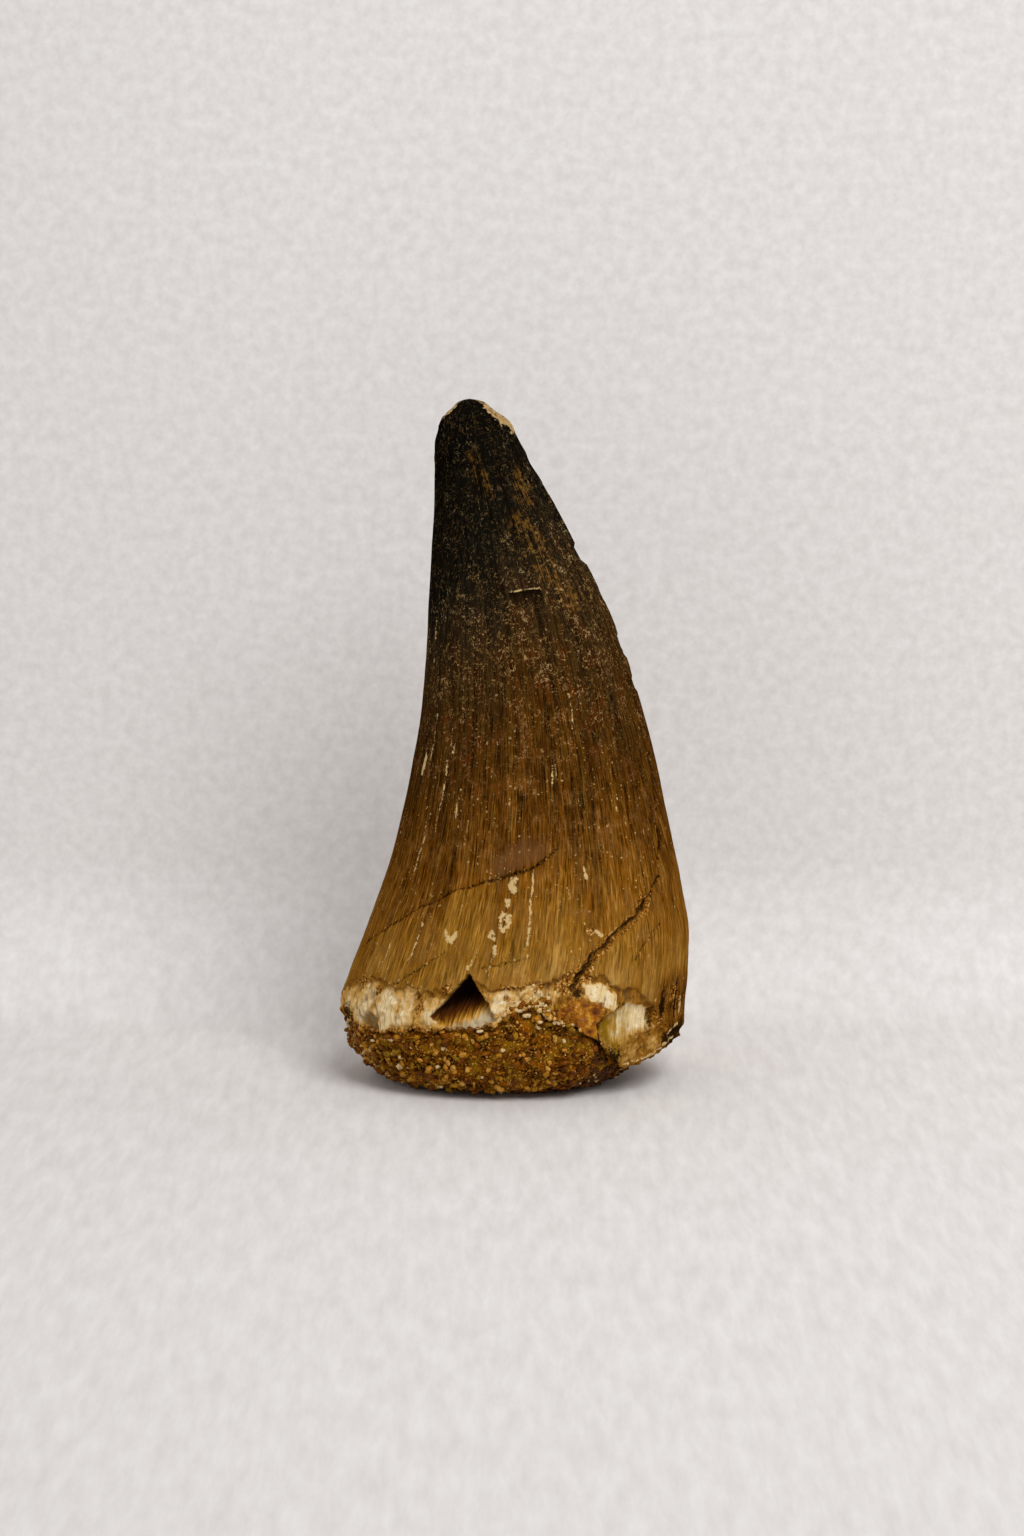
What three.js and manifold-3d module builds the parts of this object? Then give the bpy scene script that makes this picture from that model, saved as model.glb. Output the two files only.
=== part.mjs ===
// A fossil mosasaur tooth: a curved crown with two cutting edges and a worn tip, broken off above
// its root, standing on the coarse phosphate rock that fills its hollow base.
// Millimetres, +Z up. The origin is the middle of the base on the table, -Y is the front.
// Angles are in degrees round the tooth: 0 is the right side (+X), -90 the front, 90 the back.
import * as THREE from 'three';
import { ConvexGeometry } from 'three/addons/geometries/ConvexGeometry.js';
import { ImprovedNoise } from 'three/addons/math/ImprovedNoise.js';
import { mergeVertices } from 'three/addons/utils/BufferGeometryUtils.js';
import Module from 'manifold-3d';

const wasm = await Module();
wasm.setup();

// ---- driving dimensions ----

const TIP = { x: -3.5, y: 2.0, z: 51.5 }; // the worn tip, and so the whole height
const TIP_RING = 51.4; // the height of the last ring under it

// The body's extents at each height, crown and rock together: height, left, right, front, back.
const STATIONS = [
  [0.0, -8.6, 6.2, -5.4, 6.2],
  [0.9, -11.0, 9.6, -8.7, 8.8],
  [2.2, -12.3, 11.9, -10.1, 10.0],
  [4.0, -13.0, 12.8, -10.8, 10.7],
  [6.0, -13.2, 12.95, -11.0, 11.0],
  [8.0, -12.6, 13.1, -10.8, 10.9],
  [11.0, -11.5, 13.2, -10.2, 10.5],
  [15.4, -9.95, 12.75, -9.3, 9.8],
  [21.0, -8.45, 11.6, -8.1, 9.0],
  [28.0, -7.2, 9.75, -6.5, 8.2],
  [35.5, -6.6, 7.2, -4.6, 7.2],
  [41.0, -6.3, 4.4, -3.0, 6.2],
  [45.5, -6.1, 1.95, -1.7, 5.5],
  [47.8, -6.05, 0.6, -1.1, 5.1],
  [49.2, -5.9, 0.0, -0.6, 4.6],
  [50.0, -5.6, -0.5, -0.2, 4.1],
  [50.8, -4.8, -1.9, 0.9, 3.1],
  [51.4, -3.7, -3.3, 1.8, 2.2],
];

// Where the enamel ends round the base, and where the broken wall under it ends: angle, height.
const ENAMEL_EDGE = [
  [-180, 7.2], [-165, 8.0], [-152, 8.6], [-130, 8.4], [-115, 8.5], [-104, 8.2], [-96, 7.2],
  [-86, 8.6], [-76, 8.4], [-66, 9.2], [-54, 8.6], [-45, 7.9], [-28, 7.6], [-10, 6.4],
  [15, 5.0], [40, 6.8], [65, 8.2], [90, 7.0], [115, 8.8], [140, 7.6], [160, 6.6],
];
const WALL_RIM = [
  [-180, 5.4], [-165, 5.5], [-150, 5.0], [-130, 5.4], [-110, 5.8], [-97, 6.3], [-86, 7.7],
  [-76, 6.5], [-61, 4.9], [-52, 3.0], [-45, 2.2], [-28, 2.8], [-8, 3.4],
  [15, 3.2], [40, 4.2], [65, 5.7], [90, 4.8], [115, 6.2], [140, 5.2], [160, 4.6],
];

const ENAMEL_STEP = { inset: 0.25, height: 0.3 }; // from the enamel's broken edge in to the dentine
const WALL_BEVEL = 0.45; // how far in the broken wall's lowest edge lies
const SOCKET_TOP = 11; // the height that the rock reaches inside the crown
const SEAT_GAP = 0.5; // clearance between crown and rock, measured upright

// The two cutting edges: their angle at each height, and how far they stand proud.
const CUTTING_EDGES = [
  { path: [[10, -34], [16, -27], [24, -10], [36, -3], [50, 0]], proud: 0.3, width: 9 },
  { path: [[10, 178], [25, 176], [50, 180]], proud: 0.22, width: 9 },
];
const EDGE_FADE = { foot: [11, 17], head: [44, 49] }; // heights over which they rise and fade

const FLUTES = { count: 16, depth: 0.05 }; // the crown's faint lengthwise facets
const TIP_WEAR = { heights: [46, 49, 50.4, 51.4], size: 1.6, depth: 0.35 }; // it sets in and fades out

// How far the rock's side lies behind the wall over it: angle, distance. GIRTH is the wall's
// rough distance from the axis there.
const GIRTH = 12;
const ROCK_SETBACK = [
  [-180, 0.5], [-100, 0.5], [-64, 0.6], [-50, 1.4], [-32, 2.4], [0, 2.4],
  [30, 1.8], [70, 0.9], [110, 0.7], [150, 0.6],
];
const ROCK_LUMPS = { size: 2.0, height: 0.5 };

// The three-cornered window broken into the wall at the front: deep under its peak, shallow at
// its foot, which bows down a little. Each corner has an angle, a height and a depth.
const WINDOW = [
  { angle: -109, z: 9.9, deep: 2.6 },
  { angle: -118, z: 6.7, deep: 0.6 },
  { angle: -106, z: 6.1, deep: 0.45 },
  { angle: -96, z: 6.8, deep: 0.6 },
];

// Shell-shaped scars where flakes have gone: centre, size across and upright, depth of the bite.
const SCARS = [
  { angle: -43, z: 4.6, across: 5.4, upright: 5.4, bite: 1.5 }, // the large one by the corner
  { angle: -61, z: 8.6, across: 3.4, upright: 2.0, bite: 0.45 },
  { angle: 68, z: 6.6, across: 5.6, upright: 4.6, bite: 0.9 },
  { angle: 128, z: 9.2, across: 3.6, upright: 2.4, bite: 0.4 },
  { angle: -14, z: 44.6, across: 4.5, upright: 1.8, bite: 0.5 }, // nicks in the cutting edge
  { angle: -6, z: 39.9, across: 4.5, upright: 1.6, bite: 0.45 },
  { angle: -7, z: 33.2, across: 4.5, upright: 1.4, bite: 0.55 },
];

// Open cracks, as points [angle, height] that they run through, and half their width.
const CRACKS = [
  {
    half: 0.26,
    path: [[-70, 9.6], [-64, 11.8], [-59, 12.6], [-51, 13.3], [-43, 14.6], [-35, 15.6], [-30, 17.4]],
  },
  {
    half: 0.16,
    path: [[-176, 9.6], [-156, 11.9], [-136, 14.4], [-121, 15.9], [-102, 17.0], [-91, 17.6], [-73, 19.9]],
  },
  {
    half: 0.18,
    path: [[44, 10.0], [58, 13.5], [74, 15.2], [90, 18.6], [112, 19.8]],
  },
];

const COLUMNS = 64; // steps round the tooth
const CROWN_ROWS = 32; // rings from the enamel's edge up to the tip
const CROWDING = 1.35; // how much closer those rings lie towards the tip
const WALL_ROWS = 3; // rings between the broken rim and the enamel's edge
const ROCK_ROWS = 10; // rings up the rock's side
const ROCK_CROWDING = 1.4; // how much closer those rings lie towards the foot
const SOCKET_SHARES = [0, 0.25, 0.5, 0.72, 0.9]; // rings of the socket's roof, as shares of its width

// ---- curves ----

// A smooth curve through points [x, y] that never overshoots them.
function through(points, x) {
  const slope = (i) => (points[i + 1][1] - points[i][1]) / (points[i + 1][0] - points[i][0]);
  const tangent = (i) => {
    if (i === 0) return slope(0);
    if (i === points.length - 1) return slope(i - 1);
    const before = slope(i - 1);
    const after = slope(i);
    return before * after > 0 ? (2 * before * after) / (before + after) : 0;
  };
  let i = 0;
  while (i < points.length - 2 && points[i + 1][0] < x) i++;
  const [x0, y0] = points[i];
  const [x1, y1] = points[i + 1];
  const h = x1 - x0;
  const t = (x - x0) / h;
  const t2 = t * t;
  const t3 = t2 * t;
  return (2 * t3 - 3 * t2 + 1) * y0 + (t3 - 2 * t2 + t) * h * tangent(i)
    + (3 * t2 - 2 * t3) * y1 + (t3 - t2) * h * tangent(i + 1);
}

// The same, round a full turn of angles in degrees.
function aroundTurn(points, angle) {
  const turned = (by) => points.map(([a, y]) => [a + by, y]);
  const wrapped = THREE.MathUtils.euclideanModulo(angle + 180, 360) - 180;
  return through([...turned(-360), ...points, ...turned(360)], wrapped);
}

const noise = new ImprovedNoise();
const column = (k) => STATIONS.map((row) => [row[0], row[k]]);
const LEFT = column(1);
const RIGHT = column(2);
const FRONT = column(3);
const BACK = column(4);

const angleBetween = (a, b) => THREE.MathUtils.euclideanModulo(a - b + 180, 360) - 180;
const rise = (z, [from, to]) => THREE.MathUtils.smoothstep(z, from, to);

// How far the flank lies under the extents, which only the cutting edges reach.
function relief(angle, z) {
  const shown = rise(z, EDGE_FADE.foot) * (1 - rise(z, EDGE_FADE.head));
  const a = THREE.MathUtils.degToRad(angle);
  const flute = FLUTES.depth * Math.cos(FLUTES.count * a);
  const height = THREE.MathUtils.clamp(z, 10, 50);
  const worn = rise(z, TIP_WEAR.heights.slice(0, 2)) * (1 - rise(z, TIP_WEAR.heights.slice(2)));
  const wear = TIP_WEAR.depth * worn
    * noise.noise(1.5 * Math.cos(a), 1.5 * Math.sin(a), z / TIP_WEAR.size);
  const crest = CUTTING_EDGES.map(({ path, proud, width }) => {
    const away = angleBetween(angle, through(path, height)) / width;
    return proud * Math.exp(-away * away);
  });
  return shown * (flute + Math.max(...crest) - CUTTING_EDGES[0].proud) + wear;
}

// A point of the body's outside, drawn in by some millimetres.
function outside(angle, z, inset = 0) {
  const [left, right, front, back] = [LEFT, RIGHT, FRONT, BACK].map((side) => through(side, z));
  const a = THREE.MathUtils.degToRad(angle);
  const out = relief(angle, z) - inset;
  return new THREE.Vector3(
    (left + right) / 2 + ((right - left) / 2 + out) * Math.cos(a),
    (front + back) / 2 + ((back - front) / 2 + out) * Math.sin(a),
    z,
  );
}

// ---- solids ----

// A closed skin of rings round the Z axis. ring(row, angle) gives each ring's points, and the
// first and last rings are single points. The rings run from the bottom up to the top.
function skin(rows, ring) {
  const arc = Array.from({ length: rows }, (_, row) => {
    const a = Math.PI * (row / (rows - 1));
    return new THREE.Vector2(row % (rows - 1) === 0 ? 0 : Math.sin(a), -Math.cos(a));
  });
  const lathe = new THREE.LatheGeometry(arc, COLUMNS);
  const at = lathe.attributes.position;
  for (let i = 0; i < at.count; i++) {
    const turn = Math.floor(i / rows) % COLUMNS;
    const point = ring(i % rows, (360 * turn) / COLUMNS - 180);
    at.setXYZ(i, point.x, point.y, point.z);
  }
  return lathe;
}

// The socket's roof, at a share of the way out from its middle to the broken rim.
function socket(angle, share, lower = 0) {
  const z = aroundTurn(WALL_RIM, angle);
  const rim = outside(angle, z, WALL_BEVEL);
  const roof = SOCKET_TOP + (z - SOCKET_TOP) * share * share;
  return new THREE.Vector3(rim.x * share, rim.y * share, roof - lower);
}

// The crown's rings, from the top of its socket, out to the rim and up to the tip.
function crownRing(row, angle) {
  if (row < SOCKET_SHARES.length) return socket(angle, SOCKET_SHARES[row]);
  const rim = aroundTurn(WALL_RIM, angle);
  const edge = aroundTurn(ENAMEL_EDGE, angle);
  const wall = [
    { z: rim, inset: WALL_BEVEL },
    { z: (rim + edge) / 2, inset: (WALL_BEVEL + ENAMEL_STEP.inset) / 2 },
    { z: edge - Math.min(ENAMEL_STEP.height, (edge - rim) / 3), inset: ENAMEL_STEP.inset },
  ];
  const up = row - SOCKET_SHARES.length;
  if (up < WALL_ROWS) return outside(angle, wall[up].z, wall[up].inset);
  const share = (up - WALL_ROWS) / (CROWN_ROWS - 1);
  if (share > 1) return new THREE.Vector3(TIP.x, TIP.y, TIP.z);
  return outside(angle, edge + (TIP_RING - edge) * (1 - (1 - share) ** CROWDING));
}

// The rock's rings, from the middle of its foot, up its lumpy side and over its domed top.
function rockRing(row, angle) {
  if (row === 0) return new THREE.Vector3(0, 0, 0);
  const setback = aroundTurn(ROCK_SETBACK, angle);
  const brim = 1 - setback / GIRTH; // where the dome begins, as a share of the socket's width
  const domeRow = row - ROCK_ROWS;
  if (domeRow > 0) return socket(angle, brim * SOCKET_SHARES.at(-domeRow), SEAT_GAP);
  const top = socket(angle, brim, SEAT_GAP);
  if (domeRow === 0) return top;
  const share = (row - 1) / (ROCK_ROWS - 1);
  const z = Math.min(top.z, aroundTurn(WALL_RIM, angle) - SEAT_GAP) * share ** ROCK_CROWDING;
  const at = outside(angle, z).divideScalar(ROCK_LUMPS.size);
  const lump = ROCK_LUMPS.height * noise.noise(at.x, at.y, at.z + 5) * (1 - share ** 4);
  const inset = THREE.MathUtils.lerp(SEAT_GAP, setback, rise(z, [0, 2.2]));
  return outside(angle, z, inset - lump);
}

function solid(geometry) {
  const bare = new THREE.BufferGeometry();
  bare.setAttribute('position', geometry.getAttribute('position'));
  if (geometry.index) bare.setIndex(geometry.index);
  const merged = mergeVertices(bare, 1e-4);
  return new wasm.Manifold(new wasm.Mesh({
    numProp: 3,
    vertProperties: merged.attributes.position.array,
    triVerts: new Uint32Array(merged.index.array),
  }));
}

function geometryOf(manifold) {
  const mesh = manifold.getMesh();
  const geometry = new THREE.BufferGeometry();
  geometry.setAttribute('position', new THREE.BufferAttribute(mesh.vertProperties, 3));
  geometry.setIndex(new THREE.BufferAttribute(mesh.triVerts, 1));
  geometry.computeVertexNormals();
  return geometry;
}

function windowCutter() {
  const points = WINDOW.flatMap(({ angle, z, deep }) => [outside(angle, z, -1), outside(angle, z, deep)]);
  return new ConvexGeometry(points);
}

function scarCutter({ angle, z, across, upright, bite }) {
  const centre = outside(angle, z, bite - across);
  return new THREE.SphereGeometry(1, 18, 12)
    .scale(across, across, upright)
    .translate(centre.x, centre.y, centre.z);
}

// A thin four-sided rod that follows the surface, half sunk in it.
function crackCutter({ half, path }) {
  const drawn = new THREE.SplineCurve(path.map(([angle, z]) => new THREE.Vector2(angle, z)));
  const steps = 3 * (path.length - 1);
  const onSurface = drawn.getPoints(steps).map(({ x: angle, y: z }) => outside(angle, z, half / 3));
  const section = new THREE.Shape([
    new THREE.Vector2(half, 0),
    new THREE.Vector2(0, half),
    new THREE.Vector2(-half, 0),
    new THREE.Vector2(0, -half),
  ]);
  return new THREE.ExtrudeGeometry(section, {
    steps,
    extrudePath: new THREE.CatmullRomCurve3(onSurface),
  });
}

function crown() {
  const whole = solid(skin(SOCKET_SHARES.length + WALL_ROWS + CROWN_ROWS + 1, crownRing));
  const cutters = [windowCutter(), ...SCARS.map(scarCutter), ...CRACKS.map(crackCutter)];
  return cutters.reduce((body, cutter) => body.subtract(solid(cutter)), whole);
}

function rock() {
  return solid(skin(1 + ROCK_ROWS + SOCKET_SHARES.length, rockRing));
}

// ---- the object ----

function piece(name, body, color, roughness) {
  const mesh = new THREE.Mesh(
    geometryOf(body),
    new THREE.MeshStandardMaterial({ color, roughness, metalness: 0 }),
  );
  mesh.name = name;
  return mesh;
}

const fossil = new THREE.Group();
fossil.name = 'mosasaur_tooth';
fossil.add(
  piece('tooth', crown(), '#6a4317', 0.42),
  piece('matrix', rock(), '#5d3810', 0.75),
);

export default fossil;
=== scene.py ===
import math
import random
from functools import partial

import bmesh
import bpy
import numpy as np
from mathutils import Matrix, Vector, noise


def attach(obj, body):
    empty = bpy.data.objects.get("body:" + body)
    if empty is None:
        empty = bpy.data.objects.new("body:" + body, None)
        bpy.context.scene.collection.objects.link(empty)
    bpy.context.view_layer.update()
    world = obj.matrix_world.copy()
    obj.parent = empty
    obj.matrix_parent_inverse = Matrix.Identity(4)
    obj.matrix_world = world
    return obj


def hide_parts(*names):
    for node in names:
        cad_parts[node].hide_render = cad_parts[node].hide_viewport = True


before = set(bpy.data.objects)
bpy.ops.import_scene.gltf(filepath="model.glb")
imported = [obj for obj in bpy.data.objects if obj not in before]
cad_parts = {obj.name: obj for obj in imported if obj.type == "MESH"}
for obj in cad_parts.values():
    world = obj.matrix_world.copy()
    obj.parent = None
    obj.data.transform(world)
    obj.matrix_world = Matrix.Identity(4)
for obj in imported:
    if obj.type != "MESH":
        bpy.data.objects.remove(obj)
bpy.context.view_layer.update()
mm = 0.001

# Angles are in degrees round the tooth: 0 is the right side, -90 the front, 90 the back.
# Heights and distances are in millimetres until a mesh is written.

camera = dict(lens=100, tilt=9, distance=322.1, aim=(-0.23, 0, 23.8))


def makeCamera(values):
    lens = bpy.data.cameras.new("camera")
    lens.lens = values["lens"]
    lens.clip_start = 0.01
    eye = bpy.data.objects.new("camera", lens)
    tilt = math.radians(values["tilt"])
    away = Vector((0, -math.cos(tilt), math.sin(tilt))) * values["distance"]
    eye.location = (Vector(values["aim"]) + away) * mm
    eye.rotation_euler = (math.pi / 2 - tilt, 0, 0)
    bpy.context.collection.objects.link(eye)
    bpy.context.scene.camera = eye


makeCamera(camera)
bpy.context.scene.view_settings.view_transform = "Standard"

# The body's extents at each height, crown and rock together: height, left, right, front, back.
body = dict(
    stations=[
        (0, -8.6, 6.2, -5.4, 6.2), (0.9, -11, 9.6, -8.7, 8.8),
        (2.2, -12.3, 11.9, -10.1, 10), (4, -13, 12.8, -10.8, 10.7),
        (6, -13.2, 12.95, -11, 11), (8, -12.6, 13.1, -10.8, 10.9),
        (11, -11.5, 13.2, -10.2, 10.5), (15.4, -9.95, 12.75, -9.3, 9.8),
        (21, -8.45, 11.6, -8.1, 9), (28, -7.2, 9.75, -6.5, 8.2),
        (35.5, -6.6, 7.2, -4.6, 7.2), (41, -6.3, 4.4, -3, 6.2),
        (45.5, -6.1, 1.95, -1.7, 5.5), (47.8, -6.05, 0.6, -1.1, 5.1),
        (49.2, -5.9, 0, -0.6, 4.6), (50, -5.6, -0.5, -0.2, 4.1),
        (50.8, -4.9, -1.7, 0.6, 3.4), (51.25, -4.35, -2.3, 1.1, 2.9),
        (51.42, -3.9, -2.8, 1.5, 2.5),
    ],
    enamelEdge=[
        (-180, 7.2), (-165, 8), (-152, 8.6), (-130, 8.4), (-115, 8.5), (-106, 9.4), (-99, 8.9),
        (-91, 9.2), (-80, 9.5), (-68, 10), (-56, 8.8), (-45, 7.9), (-37, 6.6), (-28, 4.6), (-10, 4.2),
        (15, 5), (40, 6.8), (65, 8.2), (90, 7), (115, 8.8), (140, 7.6), (160, 6.6),
    ],
    wallRim=[
        (-180, 5.4), (-165, 5.5), (-150, 4.8), (-143, 4.6), (-130, 5.3), (-110, 5.8), (-97, 6.3),
        (-86, 7.7), (-76, 6.5), (-61, 4.9), (-52, 3), (-45, 2.2), (-28, 2.8), (-8, 3.4),
        (15, 3.2), (40, 4.2), (65, 5.7), (90, 4.8), (115, 6.2), (140, 5.2), (160, 4.6),
    ],
    tip=(-3.4, 2, 51.5),
    tipRing=51.42,
    wallBevel=0.45,
    socketTop=11,
)


def smoothCurve(points, x):
    # a smooth curve through points that never overshoots them
    xs, ys = np.array(points, float).T
    slope = np.diff(ys) / np.diff(xs)
    tangent = np.concatenate([slope[:1], np.zeros(len(xs) - 2), slope[-1:]])
    same = slope[:-1] * slope[1:] > 0
    tangent[1:-1][same] = (2 * slope[:-1] * slope[1:])[same] / (slope[:-1] + slope[1:])[same]
    i = np.clip(np.searchsorted(xs, x) - 1, 0, len(xs) - 2)
    h = xs[i + 1] - xs[i]
    t = (x - xs[i]) / h
    rise = 3 * t ** 2 - 2 * t ** 3
    ends = (t ** 3 - 2 * t ** 2 + t) * tangent[i] + (t ** 3 - t ** 2) * tangent[i + 1]
    return (1 - rise) * ys[i] + rise * ys[i + 1] + ends * h


def aroundTurn(points, angle):
    turns = [(a + by, y) for by in (-360, 0, 360) for a, y in points]
    return smoothCurve(turns, (angle + 180) % 360 - 180)


def extentsAt(z):
    return [smoothCurve([(row[0], row[k]) for row in body["stations"]], z) for k in range(1, 5)]


def outside(angle, z, out=0):
    # points on the body's surface, moved out by some millimetres
    left, right, front, back = extentsAt(z)
    a = np.radians(angle)
    x = (left + right) / 2 + ((right - left) / 2 + out) * np.cos(a)
    y = (front + back) / 2 + ((back - front) / 2 + out) * np.sin(a)
    return np.stack([x, y, z + 0 * x], axis=-1)


def ease(x, low, high):
    # eases from 0 at low to 1 at high, whichever of them is larger
    t = np.clip((x - low) / (high - low), 0, 1)
    return t * t * (3 - 2 * t)


def bell(x):
    return np.exp(-x ** 2)


def noiseAt(points, size, seed):
    # noise from -1 to 1 at points, with features of about that size
    shift = Vector((seed * 17.3, seed * 5.1, seed * 9.7))
    scale = np.array(size, float) * np.ones(3)
    return np.array([noise.noise(Vector(p) + shift) for p in points / scale])


def layered(points, layers):
    # layers of noise added up: the size of each one's features, their height, and a seed
    return sum(tall * noiseAt(points, size, seed) for size, tall, seed in layers)


def makeTube(columns, rows):
    # an open tube of evenly spaced rings, whose points are placed later
    tube = bmesh.new()
    bmesh.ops.create_cone(tube, segments=columns, radius1=1, radius2=1, depth=1, cap_ends=False)
    upright = [e for e in tube.edges if abs(e.verts[0].co.z - e.verts[1].co.z) > 0.5]
    bmesh.ops.subdivide_edges(tube, edges=upright, cuts=rows - 2, use_grid_fill=True)
    tube.verts.ensure_lookup_table()
    at = np.array([v.co[:] for v in tube.verts])
    turn = np.degrees(np.arctan2(at[:, 1], at[:, 0]))
    row = np.rint((at[:, 2] + 0.5) * (rows - 1)).astype(int)
    return tube, turn, row


def placePoints(tube, points, fields):
    # moves the tube's points into place, in metres, and stores values for the materials
    layers = {name: tube.verts.layers.float.new(name) for name in fields}
    for i, vert in enumerate(tube.verts):
        vert.co = points[i] * mm
        for name, layer in layers.items():
            vert[layer] = float(fields[name][i])
    bmesh.ops.remove_doubles(tube, verts=tube.verts, dist=1e-8)


def makeObject(name, shape, material):
    mesh = bpy.data.meshes.new(name)
    shape.to_mesh(mesh)
    shape.free()
    mesh.shade_smooth()
    mesh.materials.append(material)
    made = bpy.data.objects.new(name, mesh)
    bpy.context.collection.objects.link(made)
    return made


def makePiece(name, shape, material, node=None):
    piece = makeObject(name, shape, material)
    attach(piece, "root")
    if node:
        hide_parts(node)
    return piece


# materials

def colour(text):
    # an sRGB hex value as linear numbers
    parts = [int(text[i:i + 2], 16) / 255 for i in (1, 3, 5)]
    return [p / 12.92 if p <= 0.04045 else ((p + 0.055) / 1.055) ** 2.4 for p in parts] + [1]


def addNode(tree, kind, inputs=None, mode=None, stops=None, **settings):
    # mode is the node's operation, or the type of what it mixes; an input takes a number, an sRGB
    # hex colour, a socket, or a node for its main output; inputs 1 to 4 of a MapRange are the ends
    # it maps from and to, and 6 and 7 of a Mix are its colours
    made = tree.nodes.new("ShaderNode" + kind)
    if mode:
        setattr(made, "data_type" if kind == "Mix" else "operation", mode)
    for name, value in settings.items():
        setattr(made, name, value)
    for key, value in (inputs or {}).items():
        if isinstance(value, bpy.types.Node):
            value = next(way for way in value.outputs if way.enabled)
        if isinstance(value, bpy.types.NodeSocket):
            tree.links.new(value, made.inputs[key])
        else:
            made.inputs[key].default_value = colour(value) if isinstance(value, str) else value
    if stops:
        ramp = made.color_ramp.elements
        while len(ramp) < len(stops):
            ramp.new(0.5)
        for element, (place, value) in zip(ramp, stops):
            element.position = place
            element.color = colour(value)
    return made


def startMaterial(name):
    # an empty material, what adds its nodes, and the place on the object in millimetres
    material = bpy.data.materials.new(name)
    material.use_nodes = True
    material.node_tree.nodes.clear()
    add = partial(addNode, material.node_tree)
    place = add("TexCoord").outputs["Object"]
    inMm = add("VectorMath", {0: place, 1: (1 / mm, 1 / mm, 1 / mm)}, "MULTIPLY")
    return material, add, inMm


fossilEnamel = dict(
    # the crown's colour at each height in mm, from the golden brown foot to the black tip
    heights=[
        (4, "#c8a062"), (8.5, "#b88c46"), (12, "#98681f"), (16, "#824f0e"), (20, "#683b06"),
        (26, "#4e2c05"), (32, "#422b0f"), (38, "#2f2416"), (43, "#181610"), (52, "#0e0e0c"),
    ],
    darkStreak="#0a0502", rust="#622a03", olive="#5a420c", blush="#6e4828",
    paleStreak="#cf9c48", speck="#ccaa70", vein="#d2b47c", gold="#7d561f",
    flecks=[(0.42, "#6e5230"), (0.52, "#a48048"), (0.62, "#c8ae7a")],
)
dentine = dict(
    ivory="#e2c896", bleached="#f2e4c4", golden="#c2903a", stain="#8a5a16", darkStain="#56300a",
    olive="#90700f", dipShade="#6e5430",
    amber=[(0.38, "#361802"), (0.46, "#763e04"), (0.55, "#a2640e"), (0.65, "#d8a03c")],
    hollowFoot="#bdab88", hollowMiddleShade="#4e290c", hollowTopShadow="#1a0c05",
    crackDark="#100702", soil="#180b04", chip="#cfac74",
    crust=[(0.38, "#2c1404"), (0.48, "#7c4a10"), (0.58, "#b0782a"), (0.68, "#e4c68c")],
)


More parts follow.
